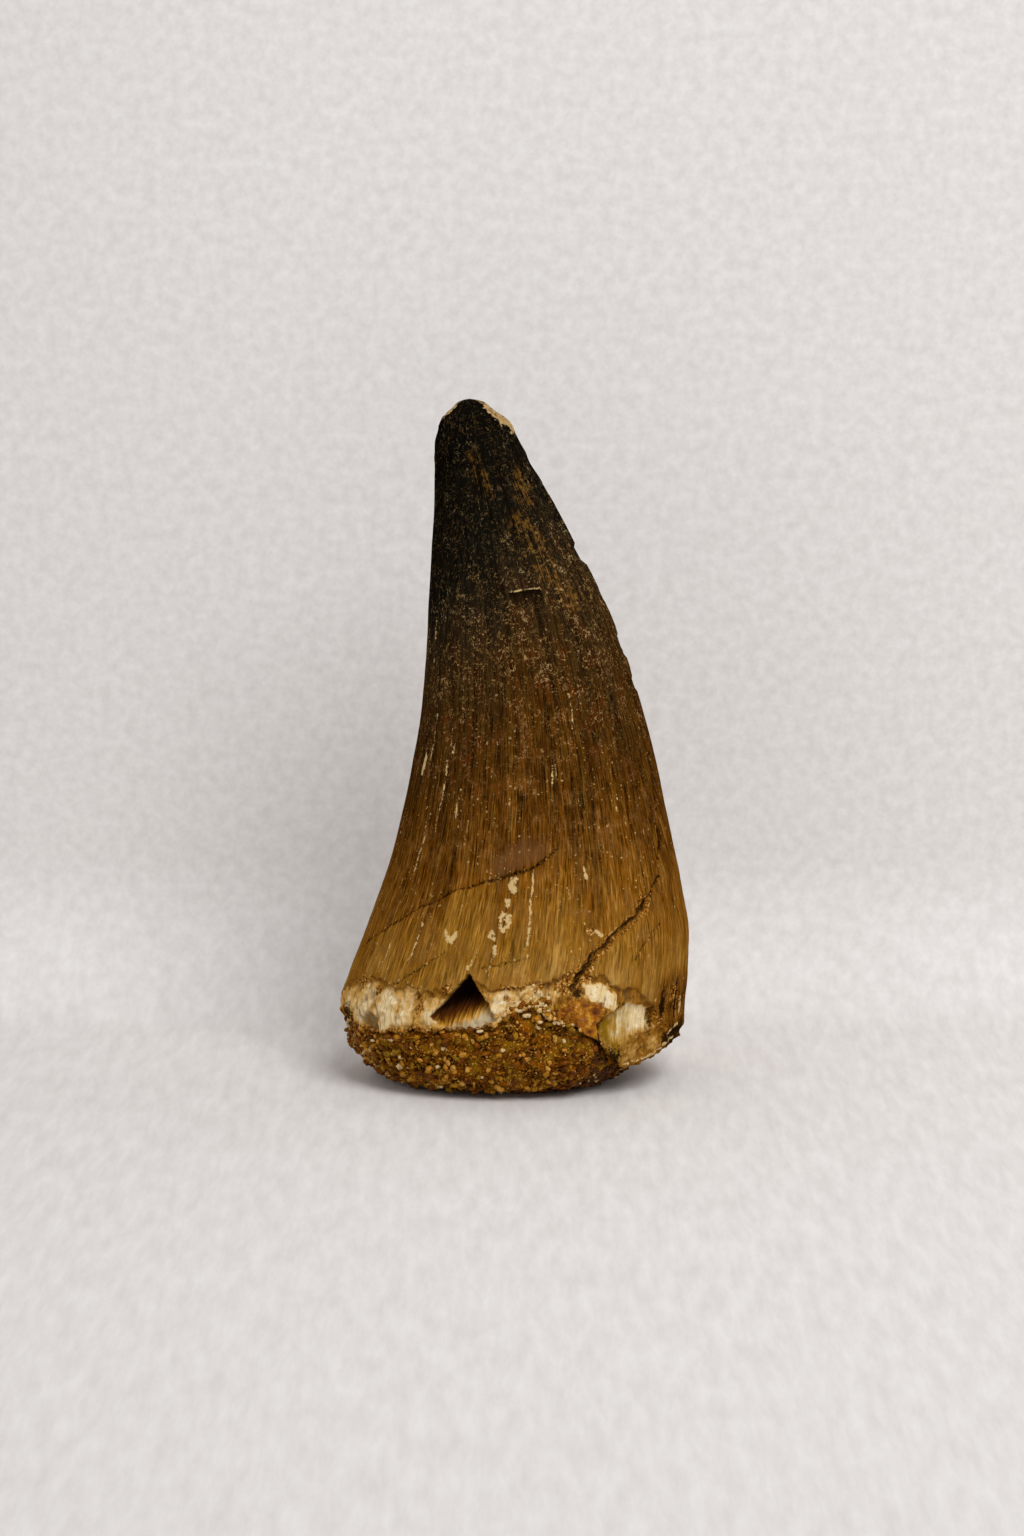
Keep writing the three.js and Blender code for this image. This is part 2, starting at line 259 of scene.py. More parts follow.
def makeToothSkin(enamel, below):
    # fossil enamel is hard and satin: fine lengthwise ridges catch a soft light, and the ground
    # has stained it golden brown to black; the dentine under it is ivory, duller and pitted
    material, add, inMm = startMaterial("fossilEnamel")
    height = add("SeparateXYZ", {0: inMm}).outputs[2]
    fields = {name: add("Attribute", attribute_name=name).outputs["Fac"] for name in (
        "across", "along", "shift", "edge", "ivory", "olive", "crust", "amber", "hollow", "rise",
        "chip", "crack", "vein", "blush", "soil", "gold", "pit", "dip")}
    # across and along are the cosine and sine of the angle, so no pattern breaks round the tooth
    flow = add("CombineXYZ", {0: fields["across"], 1: fields["along"], 2: height})

    # noises: streaks about 2, 0.6, 0.2 and 0.1 mm across, and even grain
    streaks = {}
    for name, stretch, detail in (("broad", (0.45, 0.45, 0.09), 4), ("wide", (1.7, 1.7, 0.1), 3),
                                  ("fine", (5.0, 5.0, 0.3), 3), ("hair", (10.5, 10.5, 0.8), 2)):
        along = add("VectorMath", {0: flow, 1: stretch}, "MULTIPLY")
        streaks[name] = add("TexNoise", {"Vector": along, "Scale": 1, "Detail": detail, "Roughness": 0.6})
    grains = {}
    for name, scale, detail, roughness in (("blot", 0.8, 5, 0.68), ("patch", 0.3, 3, 0.5),
                                           ("mottle", 2.4, 4, 0.7), ("grit", 5.0, 3, 0.65)):
        grains[name] = add("TexNoise", {"Vector": inMm, "Scale": scale, "Detail": detail,
                                        "Roughness": roughness})

    # enamel: the height where each colour sits wanders a little
    wander = add("MapRange", {0: streaks["broad"], 1: 0.25, 2: 0.75, 3: -3.5, 4: 3.5})
    level = add("Math", {0: height, 1: wander})
    # the stored shift carries painted shade on the flanks as well as the colours' own shifts
    level = add("Math", {0: level, 1: fields["shift"]})
    topHeight = enamel["heights"][-1][0]
    tone = add("ValToRGB", {0: add("Math", {0: level, 1: topHeight}, "DIVIDE")},
               stops=[(z / topHeight, tint) for z, tint in enamel["heights"]])
    warm = add("MapRange", {0: level, 1: 42, 2: 28})
    for spread, start, full, most, above in ((grains["blot"], 0.48, 0.62, 0.65, "rust"),
                                             (streaks["wide"], 0.5, 0.66, 0.3, "olive")):
        share = add("MapRange", {0: spread, 1: start, 2: full, 4: most})
        share = add("Math", {0: share, 1: warm}, "MULTIPLY")
        tone = add("Mix", {0: share, 6: tone, 7: enamel[above]}, "RGBA")
    calm = add("MapRange", {0: level, 1: 8, 2: 22, 3: 0.46})
    for name, start, full, most in (("wide", 0.53, 0.33, 0.6), ("fine", 0.5, 0.34, 0.75),
                                    ("hair", 0.46, 0.36, 0.8)):
        share = add("MapRange", {0: streaks[name], 1: start, 2: full, 4: most})
        share = add("Math", {0: share, 1: calm}, "MULTIPLY")
        tone = add("Mix", {0: share, 6: tone, 7: enamel["darkStreak"]}, "RGBA")
    both = add("Math", {0: streaks["fine"], 1: streaks["hair"]})
    bundle = add("MapRange", {0: streaks["wide"], 1: 0.4, 2: 0.58, 3: 0.25})
    bright = add("Math", {0: add("MapRange", {0: streaks["hair"], 1: 0.52, 2: 0.66}), 1: bundle},
                 "MULTIPLY")
    low = add("MapRange", {0: level, 1: 7, 2: 30, 3: 0.6, 4: 0})
    cloudy = add("MapRange", {0: grains["blot"], 1: 0.46, 2: 0.68, 4: 0.5})
    for spread in (bright, cloudy):
        share = add("Math", {0: spread, 1: low}, "MULTIPLY")
        tone = add("Mix", {0: share, 6: tone, 7: enamel["paleStreak"]}, "RGBA")
    blush = add("Math", {0: fields["blush"], 1: 0.6}, "MULTIPLY")
    tone = add("Mix", {0: blush, 6: tone, 7: enamel["blush"]}, "RGBA")

    # golden worm-like flecks and grit on the dark upper half, and golden patches near the tip
    squashed = add("VectorMath", {0: inMm, 1: (1, 1, 0.7)}, "MULTIPLY")
    worm = add("TexNoise", {"Vector": squashed, "Scale": 1.5, "Roughness": 0.6,
                            "Distortion": 1.6})
    off = add("Math", {0: worm, 1: 0.5}, "SUBTRACT")
    off = add("Math", {0: off}, "ABSOLUTE")
    line = add("MapRange", {0: off, 1: 0.026, 2: 0.008})
    gritty = add("MapRange", {0: grains["grit"], 1: 0.6, 2: 0.68})
    patchy = add("MapRange", {0: grains["mottle"], 1: 0.46, 2: 0.56})
    high = add("MapRange", {0: height, 1: 16, 2: 36, 4: 0.9})
    sooty = add("MapRange", {0: level, 1: 47, 2: 35, 3: 0.3})
    dense = add("MapRange", {0: grains["patch"], 1: 0.4, 2: 0.5, 3: 0.35})
    share = add("Math", {0: line, 1: patchy}, "MULTIPLY")
    share = add("Math", {0: share, 1: gritty}, "MAXIMUM")
    for less in (high, sooty, dense):
        share = add("Math", {0: share, 1: less}, "MULTIPLY")
    flecks = add("ValToRGB", {0: grains["blot"]}, stops=enamel["flecks"])
    tone = add("Mix", {0: share, 6: tone, 7: flecks}, "RGBA")
    streaky = add("Math", {0: grains["mottle"], 1: streaks["fine"]})
    share = add("Math", {0: fields["gold"], 1: add("MapRange", {0: streaky, 1: 1, 2: 1.12, 4: 0.7})},
                "MULTIPLY")
    tone = add("Mix", {0: share, 6: tone, 7: enamel["gold"]}, "RGBA")
    # a shallow pit, pale along its upper rim and black under it
    rim = add("MapRange", {0: add("Math", {0: fields["pit"]}, "ABSOLUTE"), 1: 0.07, 2: 0.03})
    rim = add("Math", {0: rim, 1: add("MapRange", {0: grains["grit"], 1: 0.4, 2: 0.52, 4: 0.8})},
              "MULTIPLY")
    shade = add("MapRange", {0: fields["pit"], 1: -1.2, 2: -0.1, 4: 0.9})
    under = add("MapRange", {0: fields["pit"], 1: 0, 2: -0.06})
    share = add("Math", {0: shade, 1: under}, "MULTIPLY")
    tone = add("Mix", {0: share, 6: tone, 7: enamel["darkStreak"]}, "RGBA")
    tone = add("Mix", {0: rim, 6: tone, 7: enamel["vein"]}, "RGBA")

    # pale specks, then short lengthwise dashes: cell pattern, its scale, share of cells, radius
    dashed = add("VectorMath", {0: flow, 1: (2.9, 2.9, 0.3)}, "MULTIPLY")
    crowd = add("MapRange", {0: grains["patch"], 1: 0.57, 2: 0.44, 3: 0.06, 4: 0.85})
    crowd = add("Math", {0: crowd, 1: add("MapRange", {0: level, 1: 28, 2: 42, 3: 1, 4: 0.25})},
                "MULTIPLY")
    crumbs = add("Math", {0: grains["grit"], 1: 0.5}, "SUBTRACT")
    for pattern, scale, chosen, radius in ((inMm, 2.9, 0.27, 0.22), (dashed, 1.0, 0.2, 0.12)):
        cells = add("TexVoronoi", {"Vector": pattern, "Scale": scale})
        pick = add("SeparateColor", {0: cells.outputs["Color"]})
        size = add("MapRange", {0: pick, 1: 1 - chosen, 2: 1, 4: radius})
        off = add("Math", {0: cells.outputs["Distance"], 1: size}, "SUBTRACT")
        off = add("Math", {0: crumbs, 1: 1.5, 2: off}, "MULTIPLY_ADD")
        most = add("Math", {0: crowd, 1: add("MapRange", {0: pick.outputs[1], 3: 0.3})}, "MULTIPLY")
        share = add("Math", {0: add("MapRange", {0: off, 1: 0.04, 2: -0.04}), 1: most}, "MULTIPLY")
        tone = add("Mix", {0: share, 6: tone, 7: enamel["speck"]}, "RGBA")

    # dentine: ivory, bleached in places, stained golden to brown in blots and along its flutes, with
    # painted shade in the dips of its relief
    bleached = add("MapRange", {0: grains["mottle"], 1: 0.5, 2: 0.68})
    bone = add("Mix", {0: bleached, 6: below["ivory"], 7: below["bleached"]}, "RGBA")
    deeper = add("MapRange", {0: grains["mottle"], 1: 0.52, 2: 0.36})
    stain = add("Mix", {0: deeper, 6: below["stain"], 7: below["darkStain"]}, "RGBA")
    fluted = add("Math", {0: streaks["fine"], 1: -0.25}, "MULTIPLY")
    reach = add("Math", {0: grains["blot"], 1: fields["ivory"]}, "SUBTRACT")
    reach = add("Math", {0: reach, 1: fluted})
    for spread, start, full, most, above in (
            (reach, -0.32, -0.16, 0.85, below["golden"]), (reach, -0.14, -0.02, 0.95, stain),
            (streaks["fine"], 0.44, 0.34, 0.55, below["golden"]),
            (streaks["hair"], 0.42, 0.3, 0.6, below["darkStain"])):
        share = add("MapRange", {0: spread, 1: start, 2: full, 4: most})
        bone = add("Mix", {0: share, 6: bone, 7: above}, "RGBA")
    share = add("Math", {0: fields["olive"], 1: add("MapRange", {0: streaks["fine"], 1: 0.62, 2: 0.44})},
                "MULTIPLY")
    bone = add("Mix", {0: share, 6: bone, 7: below["olive"]}, "RGBA")
    near = add("MapRange", {0: fields["edge"], 1: 0, 2: 1.5, 3: 0.65, 4: 0})
    share = add("Math", {0: near, 1: add("MapRange", {0: grains["blot"], 1: 0.47, 2: 0.6})}, "MULTIPLY")
    tone = add("Mix", {0: share, 6: tone, 7: below["stain"]}, "RGBA")
    # painted shade: greyish brown where the dentine's relief dips
    dipShadeShare = add("MapRange", {0: fields["dip"], 1: -0.06, 2: -0.24, 4: 0.7})
    bone = add("Mix", {0: dipShadeShare, 6: bone, 7: below["dipShade"]}, "RGBA")
    edge = add("MapRange", {0: fields["edge"], 1: -0.05, 2: 0.05})
    tone = add("Mix", {0: edge, 6: bone, 7: tone}, "RGBA")
    # a thin dark line along the enamel's broken edge: brown stain and painted shadow under its ledge
    off = add("Math", {0: fields["edge"]}, "ABSOLUTE")
    line = add("MapRange", {0: off, 1: 0.13, 2: 0.04})
    share = add("Math", {0: line, 1: add("MapRange", {0: grains["mottle"], 1: 0.42, 2: 0.54, 4: 0.55})},
                "MULTIPLY")
    tone = add("Mix", {0: share, 6: tone, 7: below["darkStain"]}, "RGBA")

    # the amber lump, then the hollow: ivory and stained dentine at its foot, with painted shade darkening
    # it to black at its top
    dark = add("MapRange", {0: grains["mottle"], 1: 0.52, 2: 0.34})
    lump = add("Mix", {2: grains["blot"], 3: grains["mottle"]})
    lump = add("ValToRGB", {0: lump}, stops=below["amber"])
    # pale flecks on the lump: painted highlights standing in for its glints
    light = add("MapRange", {0: grains["mottle"], 1: 0.64, 2: 0.7})
    lump = add("Mix", {0: light, 6: lump, 7: enamel["speck"]}, "RGBA")
    uneven = add("Math", {0: grains["mottle"], 1: 0.5}, "SUBTRACT")
    amber = add("Math", {0: fields["amber"], 1: uneven})
    amber = add("MapRange", {0: amber, 1: -0.1, 2: 0.12})
    tone = add("Mix", {0: amber, 6: tone, 7: lump}, "RGBA")
    ribbed = add("MapRange", {0: both, 1: 0.7, 2: 1.3, 3: -0.14, 4: 0.14})
    rise = add("Math", {0: fields["rise"], 1: ribbed})
    inside = add("ValToRGB", {0: rise}, stops=[
        (0.18, below["hollowFoot"]), (0.32, below["golden"]), (0.42, below["stain"]),
        (0.54, below["hollowMiddleShade"]), (0.8, below["hollowTopShadow"])])
    hollow = add("MapRange", {0: fields["hollow"], 1: -0.03, 2: 0.06})
    tone = add("Mix", {0: hollow, 6: tone, 7: inside}, "RGBA")

    # crumbly crust, chips and soil, each with a ragged border; then pale flakes, and cracks
    crust = add("ValToRGB", {0: grains["grit"]}, stops=below["crust"])
    chip = add("Mix", {0: dark, 6: below["chip"], 7: below["darkStain"]}, "RGBA")
    for name, rough, start, full, above in (("crust", 1.5, 0.36, 0.5, crust),
                                            ("chip", 2.4, 0, 0.2, chip),
                                            ("soil", 2.6, 0.1, 0.3, below["soil"])):
        ragged = add("Math", {0: crumbs if name == "soil" else uneven, 1: rough}, "MULTIPLY")
        spread = add("Math", {0: fields[name], 1: ragged})
        share = add("MapRange", {0: spread, 1: start, 2: full, 4: 0.9})
        tone = add("Mix", {0: share, 6: tone, 7: above}, "RGBA")
    for name, rough, above in (("vein", 3.6, enamel["vein"]), ("crack", 2.0, below["crackDark"])):
        ragged = add("Math", {0: crumbs, 1: rough}, "MULTIPLY")
        spread = add("Math", {0: fields[name], 1: ragged}, "SUBTRACT")
        share = add("MapRange", {0: spread, 1: 1.15, 2: 0.7, 4: 0.92})
        tone = add("Mix", {0: share, 6: tone, 7: above}, "RGBA")

    bump = add("Bump", {"Height": both, "Strength": 0.9, "Distance": 0.08 * mm})
    rough = add("MapRange", {0: edge, 3: 0.62, 4: 0.46})
    glossy = add("Math", {0: amber, 1: 0.3}, "MULTIPLY")
    shader = add("BsdfPrincipled", {"Base Color": tone, "Roughness": rough, "IOR": 1.6,
                                    "Specular IOR Level": 0, "Coat Weight": glossy,
                                    "Coat Roughness": 0.2, "Normal": bump})
    add("OutputMaterial", {0: shader})
    return material


phosphateSand = dict(
    cement="#301604", umber="#4c2804", brown="#824806", ochre="#b4781a", olive="#846210", tan="#d09e4e",
    bone="#dcbf8a",
)


def makeCement(values):
    # the phosphate cement that holds the sand: dark amber brown, with the finest grains in it
    material, add, inMm = startMaterial("phosphateCement")
    cloud = add("TexNoise", {"Vector": inMm, "Scale": 1.1, "Detail": 4, "Roughness": 0.65})
    patch = add("TexNoise", {"Vector": inMm, "Scale": 0.7, "Detail": 3, "Roughness": 0.6})
    fine = add("TexNoise", {"Vector": inMm, "Scale": 6, "Roughness": 0.6})
    tone = values["cement"]
    for spread, start, full, most, above in (
            (cloud, 0.42, 0.62, 1, "brown"), (patch, 0.5, 0.62, 0.6, "olive"),
            (fine, 0.52, 0.62, 0.8, "ochre"), (fine, 0.64, 0.7, 0.8, "bone")):
        share = add("MapRange", {0: spread, 1: start, 2: full, 4: most})
        tone = add("Mix", {0: share, 6: tone, 7: values[above]}, "RGBA")
    bump = add("Bump", {"Height": fine, "Strength": 0.8, "Distance": 0.08 * mm})
    shader = add("BsdfPrincipled", {"Base Color": tone, "Roughness": 0.55, "IOR": 1.55,
                                    "Specular IOR Level": 0.01, "Normal": bump})
    add("OutputMaterial", {0: shader})
    return material


def makeGrainSkin(values):
    # rolled phosphate grains, a little glossy: dark brown through olive and ochre to bone white
    material, add, inMm = startMaterial("phosphateGrains")
    tint = add("Attribute", attribute_name="tint").outputs["Fac"]
    tone = add("ValToRGB", {0: tint}, stops=[
        (0, values["umber"]), (0.35, values["brown"]), (0.5, values["olive"]),
        (0.68, values["ochre"]), (0.85, values["tan"]), (0.92, values["bone"])])
    cloud = add("TexNoise", {"Vector": inMm, "Scale": 4.5, "Roughness": 0.6})
    share = add("MapRange", {0: cloud, 1: 0.5, 2: 0.34, 4: 0.7})
    tone = add("Mix", {0: share, 6: tone, 7: values["cement"]}, "RGBA")
    shader = add("BsdfPrincipled", {"Base Color": tone, "Roughness": 0.3, "IOR": 1.6,
                                    "Specular IOR Level": 0.05})
    add("OutputMaterial", {0: shader})
    return material


toothSkin = makeToothSkin(fossilEnamel, dentine)
cementSkin = makeCement(phosphateSand)
grainSkin = makeGrainSkin(phosphateSand)
print("materials made")


# the tooth

crown = dict(
    columns=540, denser=0.4,  # more columns on the front than on the back
    socketShares=(0, 0.25, 0.5, 0.72, 0.9), lowRows=108, lowTop=19,
    highRows=62, crowding=1.3,  # rings crowd towards the tip
    enamelStep=0.24,
    leftSwell=0.28,  # how far the bare wall stands out on the left
    # layers of noise: size, height and seed
    rimBreaks=((0.9, 0.3, 1), (0.35, 0.22, 2)),
    edgeSweeps=((1.3, 0.4, 4),), edgeCrumbs=((0.42, 0.3, 5),), patchCrumbs=((0.25, 0.3, 26),),
    striae=((0.5, 0.04, 8), (0.2, 0.03, 9)),  # the enamel's lengthwise ridges
    swells=((3, 0.06, 11), (0.5, 0.015, 12)),
    flutes=((0.75, 0.16, 25),), pitting=((0.5, 0.08, 13), (0.3, 0.09, 19)),  # bare dentine
    tipWear=((1.3, 0.22, 14), (0.5, 0.12, 15)), wornFrom=(44, 50), wornDown=0.1,
    scarFlutes=((0.35, 0.1, 21),), amberLumps=((0.45, 0.16, 22),), crustLumps=((0.28, 0.12, 23),),
    furrow=dict(size=0.9, seed=28, width=0.14, depth=0.14),  # grooves that wander over the dentine
    cuttingEdges=[
        dict(path=[(10, -34), (16, -27), (24, -10), (36, -3), (50, 0)], proud=0.3, width=6),
        dict(path=[(10, 178), (25, 176), (50, 180)], proud=0.22, width=6),
    ],
    edgeFade=(11, 17, 44, 49),  # the heights between which the cutting edges rise and fade
    blur=(0.5, 16),  # noise that makes borders ragged: size and seed, then its share in each
    ragged=dict(whitePatch=0.4, scar=0.2, hollow=0.1, amber=0.3, blush=0.3, gold=0.5, pit=0.15),
    # outlines run counter-clockwise, as angle and height
    hollow=[(-109, 10), (-119.5, 6.7), (-113, 5.6), (-100, 5.6), (-95.5, 6.6)],
    hollowDepth=(0.4, 2.4), scarDepth=(0.45, 0.95),  # from the shallow side to the deep side
    scarDeepens=(-46, -61),
    # painted shade: the hollow darkens upwards from its foot, as it deepens, and towards its left flank
    hollowShade=dict(foot=6.1, tall=3.4, start=-0.06, flank=-98, spread=18, most=0.46),
    scar=[(-60, 6), (-58.5, 3.7), (-45, 2.2), (-37, 3), (-36, 6.6), (-40, 7.2), (-50, 7.4)],
    amber=[(-78, 7.3), (-74, 6.2), (-62, 5.1), (-58, 5.5), (-60, 7.6), (-72, 8.2)],
    whitePatch=[(-69, 8.6), (-60.5, 7.3), (-53, 6.9), (-54, 8.2), (-60, 9.1), (-68, 9.6)],
    blush=[(-109, 16.5), (-85, 18.3), (-84, 19.6), (-96, 20), (-108, 18.4)],
    bites=[  # angle, height, half width, half height, depth
        (-147.5, 5.5, 1, 0.8, 0.7), (68, 6.6, 2.8, 2.4, 0.9), (128, 9.2, 1.6, 1.1, 0.4),
        (-12, 44.6, 0.9, 0.9, 0.5), (-4, 39.9, 1, 0.8, 0.45), (-5, 33.2, 1, 0.8, 0.5),
        (-8, 36.6, 0.9, 0.7, 0.35), (-12, 42.3, 0.8, 0.7, 0.4), (-2, 30.2, 0.9, 0.7, 0.3),
        (-80, 38, 0.8, 0.16, 0.2),
    ],
    veinRise=0.05,
    # pale veins, ridges and flakes: angle, height and half width along each
    veins=[
        [(-90, 11.2, 0.06), (-91, 13, 0.1), (-91.5, 15, 0.08), (-90.5, 17.6, 0.06)],
        [(-139, 19.6, 0.07), (-137.6, 25.3, 0.09)], [(-147, 16.5, 0.06), (-144, 21.5, 0.08)],
        [(-152, 24.5, 0.06), (-150, 28.5, 0.07)], [(-128, 21, 0.06), (-127.5, 23.5, 0.07)],
        [(-83, 22, 0.06), (-82.5, 25, 0.07)], [(-69, 27.5, 0.06), (-67.5, 30.5, 0.07)],
        [(-52, 20.5, 0.06), (-50, 23.5, 0.07)], [(-160, 31, 0.06), (-158, 35.5, 0.07)],
        [(-134, 10.5, 0.07), (-133, 13.2, 0.08)], [(-148, 9.2, 0.08), (-146, 11.4, 0.08)],
        [(-32, 7.5, 0.1), (-31.5, 8, 0.14)], [(-24.5, 4.3, 0.1), (-21, 4.8, 0.13), (-18, 5, 0.1)],
        [(-18, 5.8, 0.1), (-17.5, 6.8, 0.13)], [(-70.5, 17.6, 0.1), (-69.5, 16.9, 0.12)],
        [(-96, 6.7, 0.1), (-92, 7.8, 0.12), (-87, 9.1, 0.08)],
        [(-45, 2.35, 0.1), (-32, 3.1, 0.12), (-18, 3.8, 0.1)], [(-38, 5.2, 0.06), (-36.5, 7.4, 0.08)],
        [(70, 9, 0.07), (71, 14, 0.06)], [(118, 18, 0.06), (119, 24, 0.07)],
        [(-97.5, 16.9, 0.14), (-99.5, 16.4, 0.28), (-98, 16.1, 0.2)],
        [(-100.3, 15.3, 0.2), (-99.3, 14.9, 0.14)],
        [(-102, 13.8, 0.13), (-100.5, 14.4, 0.16), (-98.5, 14.2, 0.17), (-98.4, 13.5, 0.18),
         (-100.5, 13.2, 0.16), (-102, 13.6, 0.13)], [(-104, 13, 0.16), (-103, 12.5, 0.2)],
        [(-102, 12, 0.12), (-101.5, 11.5, 0.18)],
        [(-121.5, 12.9, 0.12), (-119.5, 12.2, 0.22), (-117, 12.8, 0.12)],
        [(-157, 25.4, 0.14), (-158.5, 24.5, 0.24), (-161, 23.4, 0.14)],
        [(-133.5, 26.2, 0.12), (-134.5, 25.5, 0.13)], [(-109, 11, 0.1), (-110, 10.4, 0.12)],
        [(-66, 13, 0.14), (-64, 12.6, 0.14)], [(58, 20.4, 0.2), (61, 21.6, 0.25)],
        [(95, 13.4, 0.2), (97, 14.8, 0.25)], [(132, 26.5, 0.2), (133, 27.8, 0.2)],
    ],
    # how far the colours lie off their height: on each side and at the tip's left, as painted shade and
    # light on the flanks; at the foot's right and under the seam of the long crack; and where each of these
    # fades
    colourShiftAndShade=dict(left=4.2, right=2, tip=3.5, tipFrom=(26, 38), foot=12, footAt=-18,
                     footWide=(21, 13), footTop=(10, 7), seam=2.2, seamLeft=(-180, -164),
                     seamRight=(-88, -104), seamTall=(6, 2.5)),
    seam=[(-180, 9.4), (-156, 11.9), (-136, 14.4), (-121, 15.9), (-102, 17), (-91, 17.6)],
    pit=dict(left=-94, right=-70, height=37.6, slope=0.012),
    crustStrip=dict(share=0.62, width=0.28, size=1.4, seed=27),  # along the enamel's broken edge
    crustSpots=[  # spots of crumbly crust: angle, height, radius
        (-172, 5.2, 1), (-94, 8.3, 0.5), (-84, 8.9, 0.5), (-76, 9.1, 1.1), (-68, 9.9, 0.9),
        (-62, 12.2, 0.6), (-124, 7.2, 0.65), (-115, 8.8, 0.75), (-156, 8.3, 0.9), (-146, 7.9, 0.7),
        (-126, 8.2, 0.7), (-92, 6.9, 0.4), (-87, 7.9, 0.5), (-81, 7.6, 0.8), (-24, 7.3, 1.3),
        (-16, 5.2, 1), (-72, 6, 0.8), (-68, 13, 0.5), (-44, 15.2, 0.5), (30, 5, 1.3),
        (104, 7.6, 1.2), (150, 6.2, 1),
    ],
    # how sandy the wall's lower edge is, by angle
    sandyEdge=[
        (-180, 0.5), (-150, 0.5), (-125, 0.75), (-108, 0.3), (-96, 0.7), (-84, 0.9), (-70, 0.6),
        (-60, 0.2), (-40, 0.1), (-20, 0.4), (30, 0.6), (90, 0.7), (150, 0.5),
    ],
    # pale chips at the tip, lumps and pits of dark soil, and golden patches: angle, height, radius
    tipChips=[(-22, 50.4, 0.95), (-8, 49.9, 1), (-2, 49.3, 0.6), (-172, 50.7, 0.6), (70, 50.8, 0.55)],
    soil=[(-14, 4.1, 1.5), (-19, 4, 1.3), (-25, 4.1, 0.9), (-163, 5.6, 0.9), (-52, 3.1, 0.9),
          (-70, 8.5, 0.42), (-79, 6.9, 0.4), (60, 5.4, 1.2), (110, 6.4, 0.8)],
    gold=[(-98, 47.3, 0.7), (-95, 46.1, 0.75), (-92, 45, 0.6), (-48, 45.4, 1.2), (-52, 44.2, 1),
          (-66, 42.4, 1.2), (-58, 40.8, 1.3), (-60, 38.8, 1.5), (-48, 37, 1.6),
          (40, 45.5, 0.8), (43, 44.2, 0.9), (47, 42.8, 0.7), (96, 41.5, 0.8), (99, 40.2, 0.6)],
    # angle, height and half width along each; faint keeps one from going black, crusty crumbles its sides
    cracks=[
        dict(deep=0.4, faint=0.72, crusty=0.75, path=[
            (-72.5, 8.9, 0.22), (-71, 9.7, 0.2), (-68, 10.6, 0.24), (-66, 11.4, 0.16), (-62.5, 11.9, 0.2),
            (-59, 12.7, 0.14), (-53, 13.2, 0.19), (-48, 13.9, 0.13), (-45, 14.3, 0.27), (-41, 14.9, 0.14)]),
        dict(deep=0.25, faint=0.8, path=[
            (-42, 14.8, 0.12), (-38, 15.2, 0.13), (-32, 16.4, 0.12), (-30, 17.4, 0.11),
            (-27, 18.6, 0.11), (-24, 20.4, 0.1), (-20, 22.5, 0.1), (-17, 25.1, 0.08)]),
        dict(deep=0.12, faint=0.85, path=[
            (-180, 9.4, 0.12), (-156, 11.9, 0.12), (-136, 14.4, 0.11), (-121, 15.9, 0.11),
            (-102, 17, 0.14), (-91, 17.6, 0.14), (-78, 19.4, 0.11), (-73, 19.9, 0.08)]),
        dict(deep=0.2, path=[(-26, 5.2, 0.07), (-25, 7.4, 0.1), (-25.5, 8.6, 0.06)]),
        dict(deep=0.2, path=[(-15, 6.4, 0.07), (-14, 9.2, 0.08)]),
        dict(deep=0.3, path=[
            (-50, 7.5, 0.05), (-54, 7, 0.08), (-60, 6.1, 0.16), (-60, 4.6, 0.18), (-57, 3.6, 0.12)]),
        dict(deep=0.15, faint=0.9, path=[(-138, 8.6, 0.11), (-128, 10.1, 0.11), (-120, 11.4, 0.08)]),
        dict(deep=0.12, faint=0.95, path=[(-105, 10.4, 0.1), (-97, 10.9, 0.11), (-88, 11.3, 0.08)]),
        dict(deep=0.12, faint=0.9, path=[(-49, 10.6, 0.11), (-45, 11.6, 0.1), (-36, 13, 0.08)]),
        dict(deep=0.4, path=[(-31, 5.9, 0.2), (-31, 6.6, 0.5), (-31.3, 7.3, 0.34), (-31.5, 8.2, 0.12)]),
        dict(deep=0.25, faint=0.9, path=[(-36, 4.6, 0.15), (-36.5, 5.8, 0.22), (-36.5, 6.8, 0.15)]),
        dict(deep=0.3, path=[(-20.5, 5.4, 0.14), (-21, 6.4, 0.3), (-20.5, 7.5, 0.24), (-20.5, 8.4, 0.16)]),
        dict(deep=0.35, crusty=0.6, path=[
            (44, 10, 0.14), (58, 13.5, 0.12), (74, 15.2, 0.1), (90, 18.6, 0.07), (112, 19.8, 0.06)]),
    ],
    ivory=[  # how pale the dentine is, by angle
        (-180, 0.5), (-165, 0.54), (-150, 0.66), (-144, 0.6), (-136, 0.7), (-126, 0.54), (-121, 0.57),
        (-115, 0.63), (-108, 0.5), (-96, 0.66), (-88, 0.6), (-80, 0.52), (-72, 0.44), (-58, 0.42),
        (-50, 0.46), (-40, 0.46), (-35, 0.42), (0, 0.36), (60, 0.42), (120, 0.55),
    ],
)


def girthAt(z):
    # the body's mean radius
    left, right, front, back = extentsAt(z)
    return (right - left + back - front) / 4


def turnBetween(angle, middle):
    return (angle - middle + 180) % 360 - 180


def outlineDepth(corners, angle, z):
    # millimetres inside an outline, negative outside it
    girth = girthAt(np.mean([h for _, h in corners]))
    middle = corners[0][0]
    u = np.radians(turnBetween(angle, middle)) * girth
    flat = [(math.radians(a - middle) * girth, h) for a, h in corners]
    depth = np.full(len(u), 1e9)
    for (u0, v0), (u1, v1) in zip(flat, flat[1:] + flat[:1]):
        length = math.hypot(u1 - u0, v1 - v0)
        depth = np.minimum(depth, ((u1 - u0) * (z - v0) - (v1 - v0) * (u - u0)) / length)
    return depth


def spotDepth(spots, angle, z):
    # how deep inside the nearest round spot, 1 in its middle and 0 at its edge
    best = np.full(len(z), -1.0)
    for middle, height, radius in spots:
        u = np.radians(turnBetween(angle, middle)) * girthAt(height)
        best = np.maximum(best, 1 - np.hypot(u, z - height) / radius)
    return best


